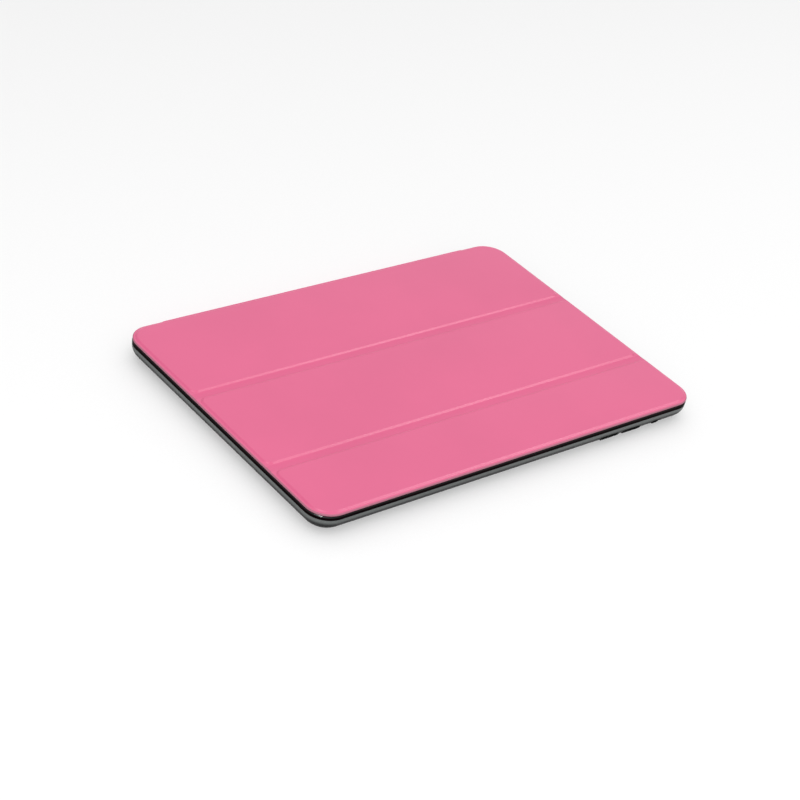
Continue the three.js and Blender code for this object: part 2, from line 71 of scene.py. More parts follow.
# Cover. Its boards start COVER_RIM in from the edge, and the leather slopes up over them. A panel
# gives way to the fold's own strip of leather FOLD_SPLIT from the fold's middle.
COVER_RIM = 1.75 * MM
CHANNEL_WIDTH = 4.4 * MM
FOLD_CORNER_RADIUS = 2.7 * MM
FOLD_SPLIT = 1.75 * MM
FOLD_SAG = 0.12 * MM
LEATHER = 0.45 * MM
SLOPE_START = 0.8 * MM
SLOPE_WIDTH = 1.25 * MM

# The cover's turned edge, the dye on it, which also stands as painted shade along the cover's edges, and
# the lining inside it.
HEM = 1.0 * MM
HEM_INNER_SOFT = 0.1 * MM
HEM_UNDER_ROUND = 0.2 * MM
HEM_TOP_ROUND = 0.6 * MM
DYE_AND_SHADE_DEPTH = 0.02 * MM
DYE_AND_SHADE_FADE = 0.06 * MM
LINING_GAP = 0.05 * MM
LINING_BOND = 0.01 * MM
LINING_SOFT = 0.1 * MM

# Spine and its two bends. The flap has points at HINGE_MARKS before its bend.
SPINE_CLEARANCE = 0.3 * MM
SPINE_EASE = 1.2 * MM
SPINE_SEAM = 2.2 * MM
SPINE_END_ROUND = 0.25 * MM
SPINE_LINING_GAP = 0.02 * MM
HINGE_CORNER = 1.35 * MM
HINGE_MARKS = (4 * MM, 2 * MM, 1 * MM, 0.5 * MM)

# Keys. The flange behind the shell's wall is wider than the cap on every side.
KEY_FLANGE_END = 0.4 * MM
KEY_FLANGE_SIDE = 0.7 * MM
KEY_FLANGE_THICKNESS = 0.3 * MM
KEY_ROUND = 0.3 * MM

# Rounding of edges on carried-over nodes and on the pad.
FINE_EDGE = 0.08 * MM
BOARD_EDGE = 0.05 * MM
PAD_EDGE = 0.12 * MM

# How finely curves are divided, and how close points must be to merge.
CORNER_STEPS = 20
ROUND_STEPS = 8
FOLD_STEPS = 24
SPINE_STEPS = 40
SPINE_LINING_STEPS = 36
END_STEPS = 4
MERGE = 0.001 * MM

# ---- colours --------------------------------------------------------------------------------

LEATHER_PINK = (0.737, 0.129, 0.267)
# Painted shade: the leather across the folds is a deeper pink, for the shade in the channels.
CHANNEL_SHADE_PINK = (0.715, 0.113, 0.25)
# Dye on the cover's turned edge, also painted shade for the darker outline along the cover's edges.
EDGE_DYE_AND_SHADE = (0.45, 0.17, 0.235)
LINING_PINK = (0.55, 0.16, 0.26)
GRAPHITE = (0.15, 0.16, 0.158)
# Painted shade for the shell's underside.
GRAPHITE_PAINTED_SHADE = (0.012, 0.012, 0.0125)
PAD_GREY = (0.045, 0.045, 0.05)

# The shell's plastic is painted darker between these two heights: painted shade round the underside.
PAINTED_SHADE_FROM = 6.6 * MM
PAINTED_SHADE_TO = 4.4 * MM

# ---- studio and view ------------------------------------------------------------------------

# The dome's level at its brightest, and the share of it left at the sides and at the back.
FLOOR_HALF = 4.0
DOME_SIDE = Vector((1, -1, 0)).normalized()
DOME_BACK = Vector((1, 1, 0)).normalized()
DOME_BRIGHT = 0.97
DOME_SIDE_SHARE = 0.31
DOME_BACK_SHARE = 0.82
LIGHT_DISTANCE = 1.5

VIEW_AZIMUTH = math.radians(-45.0)
VIEW_ELEVATION = math.radians(33.0)
VIEW_ROLL = math.radians(12.4)
VIEW_DISTANCE = 880.2 * MM
VIEW_LENS = 93.4
VIEW_SENSOR = 36.0
VIEW_PAN = (-5.2 * MM, -7.92 * MM)
VIEW_OFF_CENTRE = -0.2 * MM
VIEW_BELOW_COVER = 7.3 * MM

# ---- sizes worked out from the frame --------------------------------------------------------

shell_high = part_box("rear_shell")[1]
rim_low, rim_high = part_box("rim_frame")
cover_low, cover_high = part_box("hinge_panel_skin")
inner_web_low, inner_web_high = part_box("inner_fold_web")
outer_web_low, outer_web_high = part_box("outer_fold_web")
spine_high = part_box("spine_skin")[1]

HALF_X = shell_high.x
CASE_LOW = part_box("free_panel_skin")[0].y
CASE_HIGH = cover_high.y
BAY_HALF_Y = -CASE_LOW
SPINE_HALF_X = spine_high.x
RIM_BOTTOM = rim_low.z
BODY_TOP = rim_high.z
COVER_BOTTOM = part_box("hinge_panel_lining")[0].z
SKIN_BOTTOM = cover_low.z
RIM_TOP = inner_web_high.z
PANEL_TOP = cover_high.z
DYE_AND_SHADE_FROM = RIM_TOP - DYE_AND_SHADE_DEPTH
DYE_AND_SHADE_TO = DYE_AND_SHADE_FROM - DYE_AND_SHADE_FADE
POCKET_TOP = PANEL_TOP - LEATHER
LINING_INSET = HEM + LINING_GAP
LINING_BOTTOM = COVER_BOTTOM + LINING_GAP
LINING_TOP = SKIN_BOTTOM - LINING_BOND
INNER_FOLD_Y = (inner_web_low.y + inner_web_high.y) / 2
OUTER_FOLD_Y = (outer_web_low.y + outer_web_high.y) / 2
SPINE_EDGE = spine_high.y
VIEW_AIM = Vector((VIEW_OFF_CENTRE, (CASE_LOW + CASE_HIGH) / 2, COVER_BOTTOM - VIEW_BELOW_COVER))

# Each panel: its edges in Y, and whether the low and the high edge are folds.
PANELS = {
    "hinge_panel": (INNER_FOLD_Y, CASE_HIGH, True, False),
    "middle_panel": (OUTER_FOLD_Y, INNER_FOLD_Y, True, True),
    "free_panel": (CASE_LOW, OUTER_FOLD_Y, False, True),
}
FOLDS = {
    "inner_fold": (INNER_FOLD_Y, "hinge_panel", "middle_panel"),
    "outer_fold": (OUTER_FOLD_Y, "middle_panel", "free_panel"),
}


# ---- mesh helpers ---------------------------------------------------------------------------

def mesh_object(name, bm, material, smooth_angle=40):
    """Turns a bmesh into a smooth-shaded object whose edges stay crisp past the given angle."""
    bmesh.ops.remove_doubles(bm, verts=bm.verts, dist=MERGE)
    bmesh.ops.dissolve_degenerate(bm, edges=bm.edges, dist=MERGE)
    bmesh.ops.recalc_face_normals(bm, faces=bm.faces)
    mesh = bpy.data.meshes.new(name)
    bm.to_mesh(mesh)
    bm.free()
    mesh.materials.append(material)
    mesh.shade_smooth()
    mesh.set_sharp_from_angle(angle=math.radians(smooth_angle))
    piece = bpy.data.objects.new(name, mesh)
    bpy.context.scene.collection.objects.link(piece)
    return piece


def loft(name, rings, material, closed=False, smooth_angle=40):
    """A closed skin through rings of equal length. A closed loft joins its last ring to its first."""
    bm = bmesh.new()
    rows = [[bm.verts.new(point) for point in ring] for ring in rings]
    pairs = list(zip(rows, rows[1:]))
    if closed:
        pairs.append((rows[-1], rows[0]))
    for lower, upper in pairs:
        for i in range(len(lower)):
            j = (i + 1) % len(lower)
            bm.faces.new((lower[i], lower[j], upper[j], upper[i]))
    if not closed:
        bm.faces.new(list(reversed(rows[0])))
        bm.faces.new(rows[-1])
    return mesh_object(name, bm, material, smooth_angle)


def arc(steps, start, end):
    """Angles from start to end, in degrees, given back in radians."""
    return [math.radians(start + (end - start) * i / steps) for i in range(steps + 1)]


def eased(share):
    """A share from 0 to 1 that starts and ends gently."""
    return share * share * (3 - 2 * share)


def corner_arcs(half_x, low, high, low_radius, high_radius):
    """The four round corners of a rectangle, anticlockwise from the low corner at -X."""
    corners = (
        (-1, low + low_radius, low_radius, 180),
        (1, low + low_radius, low_radius, 270),
        (1, high - high_radius, high_radius, 0),
        (-1, high - high_radius, high_radius, 90),
    )
    arcs = []
    for side, centre_y, radius, start in corners:
        centre_x = side * (half_x - radius)
        arcs.append([
            (centre_x + radius * math.cos(angle), centre_y + radius * math.sin(angle))
            for angle in arc(CORNER_STEPS, start, start + 90)
        ])
    return arcs


def both_ends(right_half):
    """Points of the spine side from +X to -X: the given half, then the same one mirrored."""
    return right_half + [(-x, y) for x, y in reversed(right_half)]


def rim_ring(inset, z, high, spine_side):
    """A ring of the rim up to a high edge, which steps to the spine_side height behind the spine."""
    radius = CORNER_RADIUS - inset
    edge = high - inset
    arcs = corner_arcs(HALF_X - inset, CASE_LOW + inset, edge, radius, radius)
    end = SPINE_HALF_X + SPINE_CLEARANCE
    step = both_ends([(end, edge), (end, spine_side)])
    points = arcs[0] + arcs[1] + arcs[2] + step + arcs[3]
    return [(x, y, z) for x, y in points]


def pill_ring(length, width, depth):
    """A slot shape with round ends, in the XY plane at Z = depth."""
    radius = width / 2
    reach = length / 2 - radius
    points = []
    for side, start in ((1, -90), (-1, 90)):
        for angle in arc(CORNER_STEPS, start, start + 180):
            points.append((side * reach + radius * math.cos(angle), radius * math.sin(angle), depth))
    return points


# ---- material helpers -----------------------------------------------------------------------

class Nodes:
    """A material's node tree with short calls for what the finishes below share."""

    def __init__(self, name):
        self.material = bpy.data.materials.new(name)
        self.material.use_nodes = True
        self.tree = self.material.node_tree
        self.shader = self.tree.nodes["Principled BSDF"]
        coordinates = self.tree.nodes.new("ShaderNodeTexCoord")
        self.place = coordinates.outputs["Object"]
        self.normal = coordinates.outputs["Normal"]

    def link(self, output, target):
        self.tree.links.new(output, target)

    def stretched(self, scale):
        """The object's own coordinates, scaled per axis, in repeats per metre."""
        node = self.tree.nodes.new("ShaderNodeMapping")
        node.inputs["Scale"].default_value = scale
        self.link(self.place, node.inputs["Vector"])
        return node.outputs["Vector"]

    def noise(self, per_metre, detail=2.0, place=None):
        node = self.tree.nodes.new("ShaderNodeTexNoise")
        node.inputs["Scale"].default_value = per_metre
        node.inputs["Detail"].default_value = detail
        self.link(place or self.place, node.inputs["Vector"])
        return node.outputs["Fac"]

    def cells(self, per_metre, randomness=1.0):
        node = self.tree.nodes.new("ShaderNodeTexVoronoi")
        node.inputs["Scale"].default_value = per_metre
        node.inputs["Randomness"].default_value = randomness
        self.link(self.place, node.inputs["Vector"])
        return node.outputs["Distance"]

    def mix(self, factor, low, high):
        """Colour that goes from low to high as the factor goes from 0.35 to 0.65."""
        node = self.tree.nodes.new("ShaderNodeValToRGB")
        node.color_ramp.elements[0].position = 0.35
        node.color_ramp.elements[1].position = 0.65
        node.color_ramp.elements[0].color = (*low, 1)
        node.color_ramp.elements[1].color = (*high, 1)
        self.link(factor, node.inputs["Fac"])
        return node.outputs["Color"]

    def height(self, vector):
        """The Z part of a place or a normal."""
        node = self.tree.nodes.new("ShaderNodeSeparateXYZ")
        self.link(vector, node.inputs["Vector"])
        return node.outputs["Z"]

    def step(self, value, start, end):
        """Goes smoothly from 0 to 1 as the value goes from start to end."""
        node = self.tree.nodes.new("ShaderNodeMapRange")
        node.interpolation_type = "SMOOTHSTEP"
        rising = start < end
        node.inputs["From Min"].default_value = min(start, end)
        node.inputs["From Max"].default_value = max(start, end)
        node.inputs["To Min"].default_value = 0 if rising else 1
        node.inputs["To Max"].default_value = 1 if rising else 0
        self.link(value, node.inputs["Value"])
        return node.outputs["Result"]

    def stored(self, name):
        """A share that the mesh stores per vertex."""
        node = self.tree.nodes.new("ShaderNodeAttribute")
        node.attribute_name = name
        return node.outputs["Fac"]

    def painted(self, factor, under, paint):
        """A colour output with paint of a plain colour over it where the factor is 1."""
        node = self.tree.nodes.new("ShaderNodeMix")
        node.data_type = "RGBA"
        sockets = {socket.identifier: socket for socket in node.inputs}
        sockets["B_Color"].default_value = (*paint, 1)
        self.link(factor, sockets["Factor_Float"])
        self.link(under, sockets["A_Color"])
        outputs = {socket.identifier: socket for socket in node.outputs}
        return outputs["Result_Color"]

    def between(self, factor, low, high):
        """A value between low and high."""
        node = self.tree.nodes.new("ShaderNodeMapRange")
        node.inputs["To Min"].default_value = low
        node.inputs["To Max"].default_value = high
        self.link(factor, node.inputs["Value"])
        return node.outputs["Result"]

    def bump(self, height, strength, distance, below=None):
        node = self.tree.nodes.new("ShaderNodeBump")
        node.inputs["Strength"].default_value = strength
        node.inputs["Distance"].default_value = distance
        self.link(height, node.inputs["Height"])
        if below is not None:
            self.link(below, node.inputs["Normal"])
        return node.outputs["Normal"]

    def set(self, **values):
        """Sets the shader's inputs: a number or colour is a value, anything else is a link."""
        for key, value in values.items():
            target = self.shader.inputs[key.replace("_", " ")]
            if isinstance(value, bpy.types.NodeSocket):
                self.link(value, target)
            else:
                target.default_value = value
        return self.material


def tint(colour, share):
    """The colour made lighter or darker by a share of itself."""
    return tuple(min(1.0, channel * (1 + share)) for channel in colour)


# ---- materials ------------------------------------------------------------------------------

def leather_material(name, colour, dyed_and_shaded_edge):
    """Coated leather: fine pebble grain and a slow change of tone, with a matt dyed hem that is also
    painted shade along the edges, if asked.
    """
    nodes = Nodes(name)
    tone = nodes.mix(nodes.noise(22, 3), tint(colour, -0.02), tint(colour, 0.02))
    shine = 1.48
    if dyed_and_shaded_edge:
        # The hem's dye is also painted shade along the cover's edges.
        dyed_and_shaded = nodes.stored("dyed_and_shaded")
        tone = nodes.painted(dyed_and_shaded, tone, EDGE_DYE_AND_SHADE)
        shine = nodes.between(dyed_and_shaded, 1.48, 1.05)
    pebble = nodes.bump(nodes.cells(1900), 0.10, 0.06 * MM)
    grain = nodes.bump(nodes.noise(5200, 4), 0.08, 0.04 * MM, pebble)
    roughness = nodes.between(nodes.noise(600, 3), 0.3, 0.38)
    return nodes.set(Base_Color=tone, Roughness=roughness, Normal=grain, IOR=shine)


def microfibre_material(name, colour):
    """Napped microfibre: brushed patches, tiny fibres and strong sheen."""
    nodes = Nodes(name)
    nap = nodes.noise(90, 5, nodes.stretched((1, 0.35, 1)))
    tone = nodes.mix(nap, tint(colour, -0.06), tint(colour, 0.05))
    fibres = nodes.bump(nodes.noise(7000, 6), 0.5, 0.08 * MM)
    return nodes.set(
        Base_Color=tone,
        Roughness=0.95,
        Normal=fibres,
        Specular_IOR_Level=0.15,
        Sheen_Weight=0.5,
        Sheen_Roughness=0.6,
    )


def shell_material():
    """Satin graphite plastic with painted shade: its colour fades to near black round the underside."""
    nodes = Nodes("graphite_plastic_with_painted_shade")
    tone = nodes.mix(nodes.noise(35, 3), tint(GRAPHITE, -0.05), tint(GRAPHITE, 0.05))
    # Painted shade: the colour darkens to near black towards the underside.
    under = nodes.step(nodes.height(nodes.place), PAINTED_SHADE_FROM, PAINTED_SHADE_TO)
    tone = nodes.painted(under, tone, GRAPHITE_PAINTED_SHADE)
    texture = nodes.bump(nodes.noise(9000, 3), 0.12, 0.03 * MM)
    roughness = nodes.between(nodes.noise(400, 4), 0.34, 0.44)
    return nodes.set(Base_Color=tone, Roughness=roughness, Normal=texture, IOR=1.15)


def gloss_material():
    """Black plastic with faint wiping marks and a more highly polished chamfer."""
    nodes = Nodes("gloss_black_plastic")
    wiping = nodes.noise(900, 4, nodes.stretched((0.15, 1, 1)))
    roughness = nodes.between(wiping, 0.07, 0.16)
    tone = nodes.mix(nodes.noise(50, 2), (0.003, 0.001, 0.0015), (0.005, 0.0015, 0.002))
    polish = nodes.step(nodes.height(nodes.normal), 0.35, 0.65)
    return nodes.set(Base_Color=tone, Roughness=roughness, IOR=nodes.between(polish, 1.05, 1.5))


def key_material():
    """Semi-gloss black moulded plastic for the keys."""
    nodes = Nodes("key_plastic")
    texture = nodes.bump(nodes.noise(8000, 2), 0.1, 0.02 * MM)
    tone = nodes.mix(nodes.noise(700, 2), (0.005, 0.0055, 0.0055), (0.008, 0.0085, 0.0085))
    return nodes.set(Base_Color=tone, Roughness=0.5, Normal=texture, IOR=1.04)


def silicone_material():
    """Dark silicone sheet with a dull surface."""
    nodes = Nodes("dark_silicone")
    tone = nodes.mix(nodes.noise(300, 3), (0.016, 0.017, 0.02), (0.024, 0.025, 0.028))
    return nodes.set(Base_Color=tone, Roughness=nodes.between(nodes.noise(1500), 0.6, 0.75))


def board_material():
    """Pressed fibre board."""
    nodes = Nodes("fibre_board")
    fibres = nodes.noise(1200, 6, nodes.stretched((0.2, 1, 1)))
    tone = nodes.mix(fibres, (0.2, 0.19, 0.17), (0.32, 0.3, 0.27))
    return nodes.set(Base_Color=tone, Roughness=0.9, Normal=nodes.bump(fibres, 0.3, 0.05 * MM))


def tape_material():
    """Cream adhesive film."""
    nodes = Nodes("bonding_tape")
    tone = nodes.mix(nodes.noise(500, 4), (0.6, 0.57, 0.5), (0.7, 0.68, 0.6))
    return nodes.set(Base_Color=tone, Roughness=0.4)


def nickel_material():
    """Nickel plating over ground steel."""
    nodes = Nodes("nickel_plate")
    grinding = nodes.noise(4000, 3, nodes.stretched((0.05, 1, 1)))
    tone = nodes.mix(nodes.noise(200, 3), (0.52, 0.51, 0.49), (0.6, 0.59, 0.57))
    roughness = nodes.between(grinding, 0.22, 0.4)
    bump = nodes.bump(grinding, 0.15, 0.02 * MM)
    return nodes.set(Base_Color=tone, Metallic=1.0, Roughness=roughness, Normal=bump)


def floor_material():
    """Pale matt card with a hardly visible grain."""
    nodes = Nodes("pale_floor")
    tone = nodes.mix(nodes.noise(900, 2), (0.92, 0.92, 0.92), (0.93, 0.93, 0.93))
    return nodes.set(Base_Color=tone, Roughness=0.95, Specular_IOR_Level=0.1)


leather = leather_material("coated_leather", LEATHER_PINK, dyed_and_shaded_edge=False)
edged_leather = leather_material("coated_leather_with_dyed_and_shaded_edge", LEATHER_PINK, dyed_and_shaded_edge=True)
# Painted shade: the folds' leather is a deeper pink, for the shade in the channels.
channel_leather_with_painted_shade = leather_material("channel_leather_with_painted_shade", CHANNEL_SHADE_PINK, dyed_and_shaded_edge=True)
lining = microfibre_material("lining_microfibre", LINING_PINK)
pad_cloth = microfibre_material("pad_microfibre", PAD_GREY)
graphite = shell_material()
gloss = gloss_material()
key_black = key_material()
silicone = silicone_material()
board = board_material()
tape = tape_material()
nickel = nickel_material()


# ---- carried-over CAD nodes -----------------------------------------------------------------

def soften(piece, width, segments):
    """Rounds a piece's sharp edges."""
    edges = piece.modifiers.new("soft_edges", "BEVEL")
    edges.width = width
    edges.segments = segments
    edges.limit_method = "ANGLE"
    edges.angle_limit = math.radians(50)


def dress(node, material, bevel):
    """Gives a CAD node its finish, softened edges and smooth shading."""
    piece = frame["nodes"][node]
    piece.data.materials.clear()
    piece.data.materials.append(material)
    piece.data.shade_smooth()
    piece.data.set_sharp_from_angle(angle=math.radians(30))
    if bevel > 0:
        soften(piece, bevel, segments=2)
    piece.modifiers.new("even_shading", "WEIGHTED_NORMAL").keep_sharp = True


def dress_cad_nodes():
    """The nodes that stay as they are: the shell, key sheets, boards, metal parts and tape."""
    dress("rear_shell", graphite, 0)
    for node in ("volume_key_membrane", "power_key_membrane"):
        dress(node, silicone, FINE_EDGE)
    for body in ("spine", *PANELS):
        dress(body + "_board", board, BOARD_EDGE)
    for side in ("left", "right"):
        dress("latch_keeper_" + side, nickel, FINE_EDGE)
        dress("latch_magnet_" + side, nickel, FINE_EDGE)
    for node in ("stand_plate", "wake_magnet"):
        dress(node, nickel, FINE_EDGE)
    dress("flap_tape", tape, 0)


# ---- shell pieces ---------------------------------------------------------------------------

def rim_outside():
    """Outer section of the rim, as (inset, height), from the foot up to the chamfer's top."""
    profile = [(RIM_SOFT / 2, RIM_BOTTOM), (0, RIM_BOTTOM + RIM_SOFT / 2)]
    turn = math.radians(45)
    start = BODY_TOP - RIM_CHAMFER - RIM_BLEND * math.tan(turn / 2)
    for angle in arc(ROUND_STEPS, 0, 45):
        profile.append((RIM_BLEND * (1 - math.cos(angle)), start + RIM_BLEND * math.sin(angle)))
    lean = RIM_BLEND * math.tan(turn / 2) * math.sin(turn)
    for angle in arc(ROUND_STEPS, 45, 90):
        inset = RIM_CHAMFER - lean + RIM_BLEND * (math.sin(turn) - math.cos(angle))
        profile.append((inset, BODY_TOP - RIM_BLEND * (1 - math.sin(angle))))
    return profile


def rim_inside():
    """Inner section of the rim, as (inset, height), from the top over the lip and down the bay."""
    inner = SHELL_WALL + LIP_REACH
    lip_bottom = BODY_TOP - LIP_THICKNESS
    profile = []
    for angle in arc(ROUND_STEPS, 0, 90):
        inset = inner - RIM_SOFT * (1 - math.sin(angle))
        profile.append((inset, BODY_TOP - RIM_SOFT * (1 - math.cos(angle))))
    profile += [(inner, lip_bottom), (SHELL_WALL, lip_bottom), (SHELL_WALL, RIM_BOTTOM)]
    return profile


def build_rim():
    """The rim: one closed loop of rings, out over the chamfer and in round the lip."""
    rings = []
    for inset, z in rim_outside():
        rounding = max(0, RIM_SOFT - (BODY_TOP - z))
        rings.append(rim_ring(inset, z, CASE_HIGH, BAY_HALF_Y - rounding))
    for inset, z in rim_inside():
        rings.append(rim_ring(inset, z, BAY_HALF_Y, BAY_HALF_Y - inset))
    rim = loft("rim_ring", rings, gloss, closed=True, smooth_angle=35)
    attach(rim, "shell")
    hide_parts("rim_frame")


def build_pad():
    """The pad on the bay floor: die-cut cloth with a rolled edge."""
    sheet = frame["nodes"]["back_pad"].data.copy()
    sheet.name = "bay_pad"
    pad = bpy.data.objects.new("bay_pad", sheet)
    bpy.context.scene.collection.objects.link(pad)
    sheet.materials.clear()
    sheet.materials.append(pad_cloth)
    sheet.shade_smooth()
    sheet.set_sharp_from_angle(angle=math.radians(30))
    soften(pad, PAD_EDGE, segments=3)
    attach(pad, "shell")
    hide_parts("back_pad")


# ---- keys -----------------------------------------------------------------------------------

def extent(node, direction):
    """How far a CAD node reaches, low and high, along a direction."""
    reaches = [vertex.co @ direction for vertex in frame["nodes"][node].data.vertices]
    return min(reaches), max(reaches)


def key_frame(node, inward, along):
    """A frame on the key's outer face: local X along the side, local Z into the shell."""
    across = inward.cross(along)
    centre = Vector((0, 0, 0))
    for direction in (along, across):
        low, high = extent(node, direction)
        centre += direction * (low + high) / 2
    low, high = extent(node, inward)
    centre += inward * low
    matrix = Matrix((along, across, inward)).transposed().to_4x4()
    matrix.translation = centre
    return matrix, high - low


def build_key(node, body, inward, along):
    """A pill-shaped cap with a rounded crown and the flange that holds it behind the wall."""
    matrix, depth = key_frame(node, inward, along)
    across = inward.cross(along)
    long_low, long_high = extent(node, along)
    wide_low, wide_high = extent(node, across)
    length = long_high - long_low - 2 * KEY_FLANGE_END
    width = wide_high - wide_low - 2 * KEY_FLANGE_SIDE
    rings = []
    for angle in arc(ROUND_STEPS, 0, 90):
        smaller = 2 * KEY_ROUND * (1 - math.sin(angle))
        drop = KEY_ROUND * (1 - math.cos(angle))
        rings.append(pill_ring(length - smaller, width - smaller, drop))
    flange_start = depth - KEY_FLANGE_THICKNESS
    wide = (length + 2 * KEY_FLANGE_END, width + 2 * KEY_FLANGE_SIDE)
    rings.append(pill_ring(length, width, flange_start))
    rings.append(pill_ring(*wide, flange_start))
    rings.append(pill_ring(*wide, depth))
    rings = [[matrix @ Vector(point) for point in ring] for ring in rings]
    key = loft(body + "_button", rings, key_black)
    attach(key, body)
    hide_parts(node)


def build_keys():
    """Each key presses along its joint, and the switch faces the same way as the volume keys."""
    inward = {joint["child"]: Vector(joint["axis"]).normalized() for joint in frame["joints"]}
    long_side = Vector((1, 0, 0))
    short_side = Vector((0, 1, 0))
    build_key("volume_down_cap", "volume_down_key", inward["volume_down_key"], long_side)
    build_key("volume_up_cap", "volume_up_key", inward["volume_up_key"], long_side)
    build_key("mute_switch_cap", "mute_switch", inward["volume_up_key"], long_side)
    build_key("power_key_cap", "power_key", inward["power_key"], short_side)


# ---- cover ----------------------------------------------------------------------------------

def panel_ring(panel, inset, z, channel=0.0, lowest=0.0, proud=0.0):
    """One ring of a panel. At a fold a raised ring leaves a channel free, and others end at the split.

    A raised ring says how far it keeps from the fold's middle. Along a fold any other ring stays
    above lowest, so that the hem stops at the split. On the spine side the ring stands out by
    proud where the spine meets it.
    """
    low, high, low_fold, high_fold = PANELS[panel]
    raised = channel > 0
    fold_edge = channel if raised else FOLD_SPLIT
    fold_radius = FOLD_CORNER_RADIUS + COVER_RIM - inset if raised else 0
    outer_radius = CORNER_RADIUS - inset
    high_edge = high - (fold_edge if high_fold else inset)
    arcs = corner_arcs(
        HALF_X - inset,
        low + (fold_edge if low_fold else inset),
        high_edge,
        fold_radius if low_fold else outer_radius,
        fold_radius if high_fold else outer_radius,
    )
    ring = []
    for corner, points in enumerate(arcs):
        at_low = corner in (0, 1)
        is_fold = low_fold if at_low else high_fold
        for step, (x, y) in enumerate(points):
            faces_y = (step > CORNER_STEPS / 2) == (corner in (0, 2))
            height = max(z, lowest) if is_fold and faces_y and not raised else z
            ring.append((x, y, height))
        if corner == 2:
            height = max(z, lowest) if high_fold and not raised else z
            ring += [(x, high_edge + rise, height) for x, rise in spine_bulge(proud)]
    return ring


def spine_proud(panel):
    """How far the panel's spine side stands out where the spine meets it."""
    return SPINE_EDGE - CASE_HIGH if panel == "hinge_panel" else 0


def spine_bulge(proud):
    """Where the spine makes the edge stand out: (x, rise) from +X to -X, eased at both ends."""
    right_half = []
    for step in range(ROUND_STEPS + 1):
        share = step / ROUND_STEPS
        right_half.append((SPINE_HALF_X + SPINE_EASE * (0.5 - share), proud * eased(share)))
    return both_ends(right_half)


def dye_and_shade_hem(piece, plain_half_x=0.0):
    """Stores how far the turned edge has fallen from the rim's top into the dye, which is also painted
    shade.

    The middle of the piece, up to plain_half_x on either side, stays plain.
    """
    shares = []
    for vertex in piece.data.vertices:
        fallen = (DYE_AND_SHADE_FROM - vertex.co.z) / (DYE_AND_SHADE_FROM - DYE_AND_SHADE_TO)
        on_hem = abs(vertex.co.x) > plain_half_x
        shares.append(min(1.0, max(0.0, fallen)) if on_hem else 0.0)
    attribute = piece.data.attributes.new("dyed_and_shaded", "FLOAT", "POINT")
    attribute.data.foreach_set("value", shares)


def hem_profile():
    """The turned edge of the leather, as (inset, height), from inside the hem round to the rim's top."""
    profile = [
        (HEM, SKIN_BOTTOM),
        (HEM, COVER_BOTTOM + HEM_INNER_SOFT),
        (HEM - HEM_INNER_SOFT, COVER_BOTTOM),
    ]
    for angle in arc(ROUND_STEPS, -90, 0):
        inset = HEM_UNDER_ROUND * (1 - math.cos(angle))
        profile.append((inset, COVER_BOTTOM + HEM_UNDER_ROUND * (1 + math.sin(angle))))
    for angle in arc(2 * ROUND_STEPS, 0, 90):
        inset = HEM_TOP_ROUND * (1 - math.cos(angle))
        profile.append((inset, RIM_TOP - HEM_TOP_ROUND * (1 - math.sin(angle))))
    return profile


def raised_profile():
    """The leather's soft slope from the rim up over the board's edge, as (inset, height)."""
    profile = []
    for step in range(2 * ROUND_STEPS + 1):
        share = step / (2 * ROUND_STEPS)
        rise = (PANEL_TOP - RIM_TOP) * eased(share)
        profile.append((SLOPE_START + SLOPE_WIDTH * share, RIM_TOP + rise))
    return profile


def build_panel_leather(panel):
    """A panel's skin: the pocket for the board, the hem, and the slope up over the board."""
    pocket = COVER_RIM + LEATHER
    rings = [
        panel_ring(panel, pocket, z, channel=CHANNEL_WIDTH / 2 + LEATHER)
        for z in (POCKET_TOP, SKIN_BOTTOM)
    ]
    proud = spine_proud(panel)
    for inset, z in hem_profile():
        rings.append(panel_ring(panel, inset, z, lowest=SKIN_BOTTOM, proud=proud))
    for inset, z in raised_profile():
        rings.append(panel_ring(panel, inset, z, channel=FOLD_SPLIT + inset - SLOPE_START))
    piece = loft(panel + "_leather", rings, edged_leather)
    dye_and_shade_hem(piece)
    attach(piece, panel)
    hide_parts(panel + "_skin")


def lining_profile():
    """The lining's edge, as (inset, height), from its soft lower corner to the bond with the skin."""
    return [
        (LINING_INSET + LINING_SOFT, LINING_BOTTOM),
        (LINING_INSET, LINING_BOTTOM + LINING_SOFT),
        (LINING_INSET, LINING_TOP),
    ]


def build_panel_lining(panel):
    """A panel's lining, inside the hem."""
    proud = spine_proud(panel)
    rings = [panel_ring(panel, inset, z, proud=proud) for inset, z in lining_profile()]
    piece = loft(panel + "_microfibre", rings, lining)
    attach(piece, panel)
    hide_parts(panel + "_lining")


def fold_piece(name, fold, section, top, sag, material):
    """A strip across a fold: one section in XZ, repeated along Y between its two panels.

    Points above the section's lowest skin level sag a little in the middle of the channel.
    """
    middle, near_spine, away = FOLDS[fold]
    base = min(z for _, z in section)
    rings = []
    for step in range(FOLD_STEPS + 1):
        share = 2 * step / FOLD_STEPS - 1
        drop = sag * (1 - share * share)
        y = middle + FOLD_SPLIT * share
        rings.append([(x, y, z - drop * max(0, z - base) / (top - base)) for x, z in section])
    piece = loft(name, rings, material)
    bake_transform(piece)
    return piece


def mirrored(side_profile):
    """A closed section: the profile at +X, and the same one mirrored back at -X."""
    right = [(HALF_X - inset, z) for inset, z in side_profile]
    return right + [(-x, z) for x, z in reversed(right)]


def build_fold(fold):
    """The skin and the lining across a fold."""
    section = mirrored(hem_profile())
    skin = fold_piece(fold + "_leather", fold, section, RIM_TOP, FOLD_SAG, channel_leather_with_painted_shade)
    dye_and_shade_hem(skin, plain_half_x=HALF_X - HEM_TOP_ROUND)
    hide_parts(fold + "_web")
    under_section = mirrored(lining_profile())
    under = fold_piece(fold + "_microfibre", fold, under_section, LINING_TOP, 0, lining)
    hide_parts(fold + "_lining")


# ---- spine ----------------------------------------------------------------------------------

